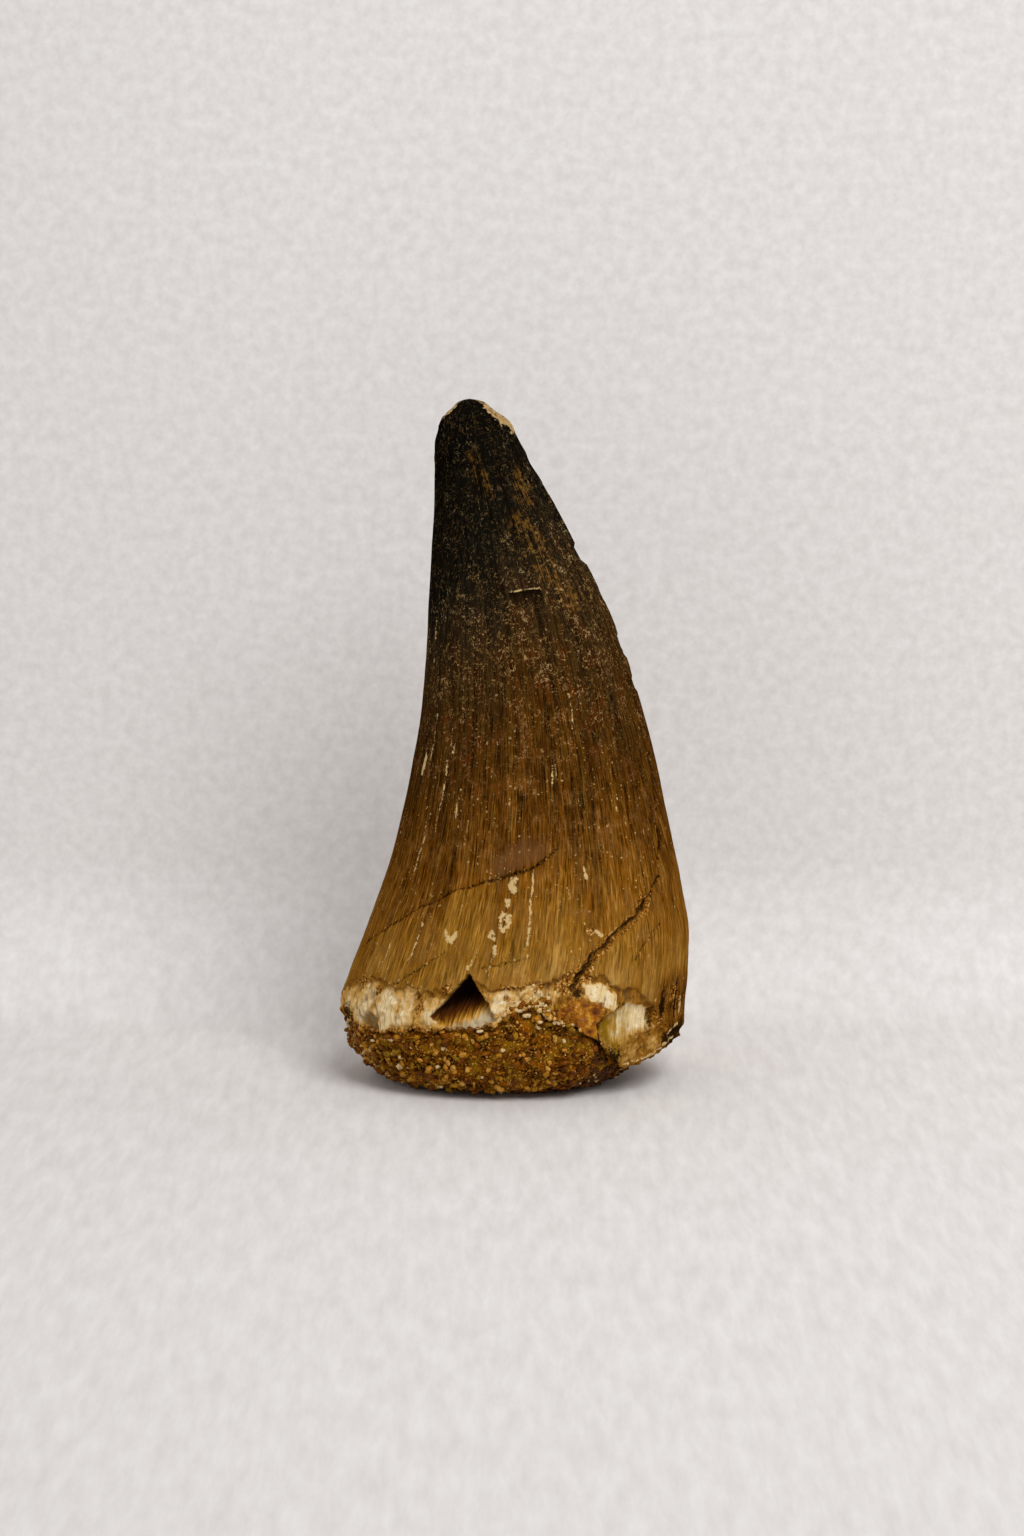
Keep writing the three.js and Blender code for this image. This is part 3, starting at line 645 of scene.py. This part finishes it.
def crackShare(path, points, raggedness):
    # distance from a crack's middle as a share of its half width there
    angles, heights, halves = np.array(path, float).T
    ticks = np.linspace(0, len(path) - 1, 30 * len(path))
    angle, z, half = [np.interp(ticks, range(len(path)), values) for values in (angles, heights, halves)]
    route = outside(angle, z)
    for size, way in ((1, 0.15), (0.35, 0.09)):
        route += way * np.stack([noiseAt(route, size, k) for k in (3, 5, 7)], axis=-1)
    nearest = np.full(len(points), 9.0)
    close = np.flatnonzero((points[:, 2] > heights.min() - 1.5) & (points[:, 2] < heights.max() + 1.5))
    some = points[close]
    for spot, wide in zip(route, half):
        away = np.linalg.norm(some - spot, axis=1) / wide
        nearest[close] = np.minimum(nearest[close], away)
    return nearest + raggedness


def makeCrown(values):
    below = len(values["socketShares"])
    rows = below + 2 + values["lowRows"] + values["highRows"] + 1
    tube, turn, row = makeTube(values["columns"], rows)
    angle = turn - np.degrees(values["denser"] * np.cos(np.radians(turn)))
    a = np.radians(angle)
    # the wall's broken lower edge is ragged
    ring = np.stack([10 * np.cos(a), 10 * np.sin(a), 0 * a], axis=-1)
    rim = aroundTurn(body["wallRim"], angle) + layered(ring, values["rimBreaks"])

    up = row - below - 2
    low = rim + (values["lowTop"] - rim) * np.clip(up / values["lowRows"], 0, 1)
    share = np.clip((up - values["lowRows"]) / (values["highRows"] - 1), 0, 1)
    share = 1 - (1 - share) ** values["crowding"]
    high = values["lowTop"] + (body["tipRing"] - values["lowTop"]) * share
    z = np.where(up <= values["lowRows"], low, high)
    points = outside(angle, z)
    blur = noiseAt(points, *values["blur"])
    ragged = {name: part * blur for name, part in values["ragged"].items()}

    def inside(name):
        return outlineDepth(values[name], angle, z) + ragged[name]

    # the enamel's broken edge wanders and crumbles
    edge = aroundTurn(body["enamelEdge"], angle)
    edge += layered(points * (1, 1, 0.4), values["edgeSweeps"]) + layered(points, values["edgeCrumbs"])
    white = inside("whitePatch") + layered(points, values["patchCrumbs"])
    scar = inside("scar")
    aboveEdge = np.minimum(z - edge, -np.maximum(white, scar))
    enamel = ease(aboveEdge, -0.1, 0.1)
    out = -values["enamelStep"] * (1 - enamel)

    # cutting edges, and the lengthwise ridges between them
    start, full, fade, gone = values["edgeFade"]
    shown = ease(z, start, full) * ease(z, gone, fade)
    crest = np.zeros(len(z))
    for cutting in values["cuttingEdges"]:
        path = smoothCurve(cutting["path"], np.clip(z, 10, 50))
        away = turnBetween(angle, path) / cutting["width"]
        crest = np.maximum(crest, cutting["proud"] * bell(away))
    out += shown * (crest - values["cuttingEdges"][0]["proud"])
    flow = ring + np.stack([0 * z, 0 * z, z * 0.06], axis=-1)
    out += layered(flow, values["striae"]) + layered(points, values["swells"])
    bare = layered(flow, values["flutes"]) + layered(points, values["pitting"])
    groove = values["furrow"]
    offLine = noiseAt(points * (1, 1, 0.5), groove["size"], groove["seed"]) / groove["width"]
    furrow = groove["depth"] * bell(offLine)
    smoothed = ease(np.maximum(white, scar), -0.1, 0.2)
    # dip is the bare dentine's relief, also kept to paint shade into its dips
    dip = (1 - enamel) * (bare - furrow) * (1 - 0.55 * smoothed)
    out += dip + values["leftSwell"] * (1 - enamel) * ease(-np.cos(a), 0.8, 1)
    out += ease(z, *values["wornFrom"]) * (layered(points, values["tipWear"]) - values["wornDown"])

    # breaks, scars and cracks
    hollow = inside("hollow")
    # painted shade for the hollow: rise climbs with height and towards the left flank
    dark = values["hollowShade"]
    climb = (z - dark["foot"]) / dark["tall"]
    flank = ease(-turnBetween(angle, dark["flank"]), 0, dark["spread"])
    rise = climb + dark["start"] + dark["most"] * flank
    shallow, deep = values["hollowDepth"]
    out -= (shallow + (deep - shallow) * ease(climb, 0.1, 0.9)) * ease(hollow, 0, 0.16)
    shallow, deep = values["scarDepth"]
    sunk = shallow + (deep - shallow) * ease(angle, *values["scarDeepens"])
    sunk += layered(flow * (1, 1, 3), values["scarFlutes"])
    out -= ease(scar, -0.05, 0.2) * sunk
    amber = inside("amber")
    out += ease(amber, -0.1, 0.3) * (layered(points, values["amberLumps"]) - 0.1)
    girth = girthAt(z)
    for middle, level, halfWide, halfTall, bite in values["bites"]:
        u = np.radians(turnBetween(angle, middle)) * girth / halfWide
        bowl = 1 - u ** 2 - ((z - level) / halfTall) ** 2 + 0.2 * noiseAt(points, 0.6, 17)
        bowl = bite * np.clip(bowl, 0, 1) ** 0.7
        out -= bowl
        # the bites' bowls deepen that painted shade too
        dip -= 0.5 * (1 - enamel) * bowl
    crack = np.full(len(z), 9.0)
    strip = values["crustStrip"]
    border = strip["share"] * bell(aboveEdge / strip["width"])
    border *= ease(noiseAt(points, strip["size"], strip["seed"]), -0.3, 0.15)
    crust = np.maximum(border, spotDepth(values["crustSpots"], angle, z))
    for line in values["cracks"]:
        near = crackShare(line["path"], points, 0.5 * noiseAt(points, 0.3, 18))
        out -= line["deep"] * bell(np.maximum(near, 0))
        crack = np.minimum(crack, np.maximum(near, line.get("faint", 0)))
        crust = np.maximum(crust, line.get("crusty", 0) * bell(near - 1.5))
    vein = np.full(len(z), 9.0)
    for path in values["veins"]:
        vein = np.minimum(vein, crackShare(path, points, 0.6 * noiseAt(points, 0.3, 24)))
    out += values["veinRise"] * bell(np.maximum(vein, 0))

    # crumbly crust along the wall's lower edge too
    low = aroundTurn(values["sandyEdge"], angle) * bell((z - rim) / 0.4)
    crust = np.maximum(crust, low)
    crust = np.where(hollow > -0.05, -1.0, crust - ease(amber, -0.1, 0.3))
    out += ease(crust, 0.1, 0.6) * (layered(points, values["crustLumps"]) + 0.03)

    # where the colours lie higher or lower: painted shade darker on both flanks, most on the left, and at
    # the tip darker on the left and lighter on the right; darker by the foot on the right
    leftward = -np.cos(a)
    move = values["colourShiftAndShade"]
    shift = np.where(leftward > 0, move["left"], -move["right"]) * leftward
    shift += move["tip"] * leftward * ease(z, *move["tipFrom"])
    foot = ease(np.abs(angle - move["footAt"]), *move["footWide"])
    shift += move["foot"] * foot * ease(z, *move["footTop"])
    seam = np.interp(angle, *np.transpose(values["seam"])) - z
    lit = ease(angle, *move["seamLeft"]) * ease(angle, *move["seamRight"])
    shift -= move["seam"] * lit * ease(seam, 0, 0.25) * ease(seam, *move["seamTall"])

    # the dentine is paler on the patch and the scar, and darker along its two edges
    ivory = aroundTurn(values["ivory"], angle) + 0.42 * ease(white, -0.1, 0.3)
    ivory += 0.5 * ease(scar, 0, 0.3) * ease(z, 4.4, 6.4) * ease(angle, -55, -46)
    ivory -= 0.2 * bell((aboveEdge + 0.1) / 0.6) + 0.2 * bell((z - rim) / 0.4)
    spot = values["pit"]
    pit = z - spot["height"] - spot["slope"] * (angle - spot["left"]) + ragged["pit"]
    pit = np.where((angle > spot["left"]) & (angle < spot["right"]), pit, 3.0)

    points = outside(angle, z, out)
    # the broken wall's underside, and the socket that the rock fills
    wall = outside(angle, rim, -body["wallBevel"])
    for k, shareOut in enumerate(values["socketShares"]):
        here = row == k
        points[here] = wall[here] * shareOut
        points[here, 2] = (body["socketTop"] + (rim - body["socketTop"]) * shareOut ** 2)[here]
    for k, inset in ((below, 0.9), (below + 1, 0.35)):
        here = row == k
        points[here] = outside(angle, rim, -inset)[here]
        points[here, 2] += 0.45 * inset - 0.15
    points[row == rows - 1] = body["tip"]
    fields = dict(
        across=ring[:, 0], along=ring[:, 1], shift=shift, edge=np.where(up < 0, -1.0, aboveEdge),
        crack=crack, vein=vein, crust=np.where(up < 0, 0.6, crust),
        hollow=np.clip(hollow, -1, 1), rise=rise, amber=np.clip(amber, -1, 1),
        blush=ease(inside("blush"), -0.1, 0.5),
        chip=spotDepth(values["tipChips"], angle, z), soil=spotDepth(values["soil"], angle, z),
        gold=ease(spotDepth(values["gold"], angle, z) + ragged["gold"], 0, 0.6), pit=pit,
        olive=0.85 * ease(scar, 0, 0.4) * ease(-angle, 42, 54), ivory=ivory, dip=dip,
    )
    placePoints(tube, points, fields)
    return makePiece("tooth_surface", tube, toothSkin, "tooth")


toothPiece = makeCrown(crown)
print("tooth made:", len(toothPiece.data.polygons), "faces")


# the rock in its base

rock = dict(
    columns=520, footShares=(0, 0.4, 0.8), sideRows=56, crowding=1.15,
    # how far the rock lies inside the wall, by angle
    setback=[(-180, 0.2), (-150, 0.3), (-100, 0.5), (-64, 0.6), (-50, 1.4), (-32, 2.4), (0, 2.4),
             (30, 1.8), (70, 0.9), (110, 0.7), (150, 0.6)],
    under=0.2,  # how far the cement lies under the tips of the grains
    footInset=0.3, footTop=2.2,  # the foot is drawn in this much, and widens up to this height
    lumps=((2.0, 0.3, 20), (0.7, 0.16, 21)),
    pebbleRate=1.8, pebbleRise=0.2,  # pebbles a mm, and how far they stand out
    grains=3500, grainSizes=(0.1, 0.4), paleShare=0.035, seed=11,
    # grains stuck on the wall above: their share, the angle they gather at, and how high they climb
    climbing=dict(share=0.07, middle=-83, spread=6, rise=0.6, lighter=0.2),
    shadedSide=(-77, -52), darker=0.55,  # the grains darken from one angle to the other: painted shade where the rock sits back under the wall
)


def rockSide(angle, share, values):
    # a point on the rock's side, from the foot (0) up to the wall (1)
    rim = aroundTurn(body["wallRim"], angle)
    setback = aroundTurn(values["setback"], angle)
    z = (rim - 0.1) * share ** values["crowding"]
    inset = values["footInset"] + (setback - values["footInset"]) * ease(z, 0, values["footTop"])
    return outside(angle, z, -inset - values["under"] * ease(z, 0, 0.3))


def makeRock(values):
    feet = len(values["footShares"])
    shares = (0.9, 0.6, 0.3, 0)
    rows = feet + values["sideRows"] + len(shares)
    tube, angle, row = makeTube(values["columns"], rows)
    share = np.clip((row - feet) / (values["sideRows"] - 1), 0, 1)
    points = rockSide(angle, share, values)
    bulge = layered(points, values["lumps"])
    pebbles = np.array([noise.voronoi(Vector(p) * values["pebbleRate"])[0][0] for p in points])
    a = np.radians(angle)
    side = (row >= feet) & (share < 1)
    bulge += values["pebbleRise"] * (0.45 - pebbles)
    bulge *= ease(points[:, 2], 0, 0.5) * side
    points += np.stack([np.cos(a), np.sin(a), -0.3 + 0 * a], axis=-1) * bulge[:, None]
    points[:, 2] = np.maximum(points[:, 2], 0)
    footEdge = rockSide(angle, 0, values)
    for k, part in enumerate(values["footShares"]):
        points[row == k] = footEdge[row == k] * part
    top = rockSide(angle, 1, values)
    for k, part in enumerate(shares):
        here = row == feet + values["sideRows"] + k
        points[here] = top[here] * part
        points[here, 2] = (body["socketTop"] - 1 + (top[:, 2] - body["socketTop"] + 1) * part ** 2)[here]
    placePoints(tube, points, {})
    return makePiece("matrix_cement", tube, cementSkin, "matrix")


def makeGrains(values):
    rng = random.Random(values["seed"])
    # one rounded pebble, copied for every grain
    pebble = bmesh.new()
    bmesh.ops.create_cube(pebble, size=2)
    bmesh.ops.subdivide_edges(pebble, edges=pebble.edges, cuts=1, use_grid_fill=True)
    for vert in pebble.verts:
        vert.co = vert.co.normalized() * rng.uniform(0.8, 1.15)
    corners = len(pebble.verts)
    one = bpy.data.meshes.new("pebble")
    pebble.to_mesh(one)
    pebble.free()

    count = values["grains"]
    angles = np.array([rng.uniform(-180, 180) for _ in range(count)])
    shares = np.array([rng.uniform(0.03, 1.0) for _ in range(count)])
    places = rockSide(angles, shares, values)
    climb = values["climbing"]
    climbers = int(count * climb["share"])
    for k in range(climbers):
        angles[k] = rng.gauss(climb["middle"], climb["spread"])
        level = aroundTurn(body["wallRim"], angles[k:k + 1]) + abs(rng.gauss(0, climb["rise"])) - 0.1
        places[k] = outside(angles[k:k + 1], level, -0.42)[0]
    small, large = values["grainSizes"]
    moves, shades = [], []
    # painted shade on the grains under the wall's overhang; climbing grains are lighter instead
    darker = values["darker"] * ease(angles, *values["shadedSide"]) * (angles < 0)
    darker[:climbers] = -climb["lighter"]
    for angle, share, spot, dark in zip(np.radians(angles), shares, places, darker):
        pale = rng.random() < values["paleShare"]
        size = small + (large - small) * (0.2 + 0.6 * rng.random() if pale else rng.random() ** 2.2)
        away = Vector((math.cos(angle), math.sin(angle), -0.5 + 0.5 * share)).normalized()
        middle = Vector(spot) + away * size * rng.uniform(-0.1, 0.5)
        middle.z = max(middle.z, size * 0.8)
        stretch = Matrix.Diagonal((size * rng.uniform(0.9, 1.3), size * rng.uniform(0.6, 0.9),
                                   size * rng.uniform(0.5, 0.8), 1))
        axis = Vector((rng.gauss(0, 1), rng.gauss(0, 1), rng.gauss(0, 1)))
        turn = Matrix.Rotation(rng.uniform(0, 6.3), 4, axis)
        moves.append(Matrix.Scale(mm, 4) @ Matrix.Translation(middle) @ turn @ stretch)
        shades.append(rng.uniform(0.86, 1) if pale else max(0, rng.uniform(0.02, 0.82) - dark))

    heap = bmesh.new()
    for _ in range(count):
        heap.from_mesh(one)
    tint = heap.verts.layers.float.new("tint")
    for i, vert in enumerate(heap.verts):
        vert.co = moves[i // corners] @ vert.co
        vert.co.z = max(vert.co.z, 0.00002)
        vert[tint] = shades[i // corners]
    bpy.data.meshes.remove(one)
    return makePiece("matrix_grains", heap, grainSkin)


rockPiece = makeRock(rock)
grainPiece = makeGrains(rock)
print("rock made:", len(rockPiece.data.polygons), "faces, grains:", len(grainPiece.data.polygons))


# floor, backdrop and light

studio = dict(
    card="#e6e3e1", cardShade="#d8d4d2", cardFarShade="#a8a4a2", paintedLightAt=(40, 20, 50),
    reach=6000, wallAt=29, bend=12, tall=400, wide=900,
    world="#ecebea", worldStrength=0.47,
    lights=[  # name, place, size, watts
        ("key", (190, -360, 440), 320, 2.4),
        ("fill", (-420, -330, 240), 420, 0.3),
        ("back", (60, 380, 420), 420, 0.8),
    ],
)


def makeStage(values):
    # pale matt card with soft mottled fibres, drawn out along the floor, with painted light falloff away
    # from the object
    material, add, inMm = startMaterial("paleCard")
    laid = add("VectorMath", {0: inMm, 1: (1, 0.17, 1)}, "MULTIPLY")
    fibre = add("TexNoise", {"Vector": laid, "Scale": 1, "Detail": 3, "Roughness": 0.6})
    tone = add("ValToRGB", {0: fibre}, stops=[(0.3, values["cardShade"]), (0.7, values["card"])])
    # painted light: the card darkens away from a bright spot beside the object
    away = add("VectorMath", {0: inMm, 1: values["paintedLightAt"]}, "DISTANCE").outputs["Value"]
    share = add("MapRange", {0: away, 1: 60, 2: 240, 4: 0.4})
    tone = add("Mix", {0: share, 6: tone, 7: values["cardFarShade"]}, "RGBA")
    matt = add("BsdfDiffuse", {"Color": tone})
    # the card is open from behind, so the object's back shows too
    behind = add("NewGeometry").outputs["Backfacing"]
    both = add("MixShader", {0: behind, 1: matt, 2: add("BsdfTransparent")})
    add("OutputMaterial", {0: both})

    # a floor, and a backdrop that bends up from it
    floor = bmesh.new()
    bmesh.ops.create_grid(floor, x_segments=1, y_segments=1, size=values["reach"] * mm)
    sheet = bmesh.new()
    bmesh.ops.create_grid(sheet, x_segments=1, y_segments=1, size=0.5)
    foot = (values["wallAt"] - 2 * values["bend"]) * mm
    for vert in sheet.verts:
        vert.co.x *= 2 * values["wide"] * mm
        vert.co.y = foot if vert.co.y < 0 else values["wallAt"] * mm
        vert.co.z = 0.01 * mm
    far = [e for e in sheet.edges if all(v.co.y > foot + 1e-6 for v in e.verts)]
    raised = bmesh.ops.extrude_edge_only(sheet, edges=far)["geom"]
    for vert in raised:
        if isinstance(vert, bmesh.types.BMVert):
            vert.co.z = values["tall"] * mm
    corner = [e for e in sheet.edges if all(v.co.z < 0.1 * mm and v.co.y > foot + 1e-6 for v in e.verts)]
    bmesh.ops.bevel(sheet, geom=corner, offset=values["bend"] * mm, segments=12, profile=0.5,
                    affect="EDGES", material=-1)
    for name, shape in (("floor", floor), ("backdrop", sheet)):
        card = makeObject(name, shape, material)


def makeLights(values):
    world = bpy.data.worlds.new("studio")
    world.use_nodes = True
    back = world.node_tree.nodes["Background"]
    back.inputs[0].default_value = colour(values["world"])
    back.inputs[1].default_value = values["worldStrength"]
    bpy.context.scene.world = world
    for name, place, size, watts in values["lights"]:
        lamp = bpy.data.lights.new(name, "AREA")
        lamp.size = size * mm
        lamp.energy = watts
        holder = bpy.data.objects.new(name, lamp)
        holder.location = Vector(place) * mm
        aim = Vector((0, 0, 25)) * mm - holder.location
        holder.rotation_euler = aim.to_track_quat("-Z", "Y").to_euler()
        bpy.context.collection.objects.link(holder)


makeStage(studio)
makeLights(studio)
print("stage and lights made")
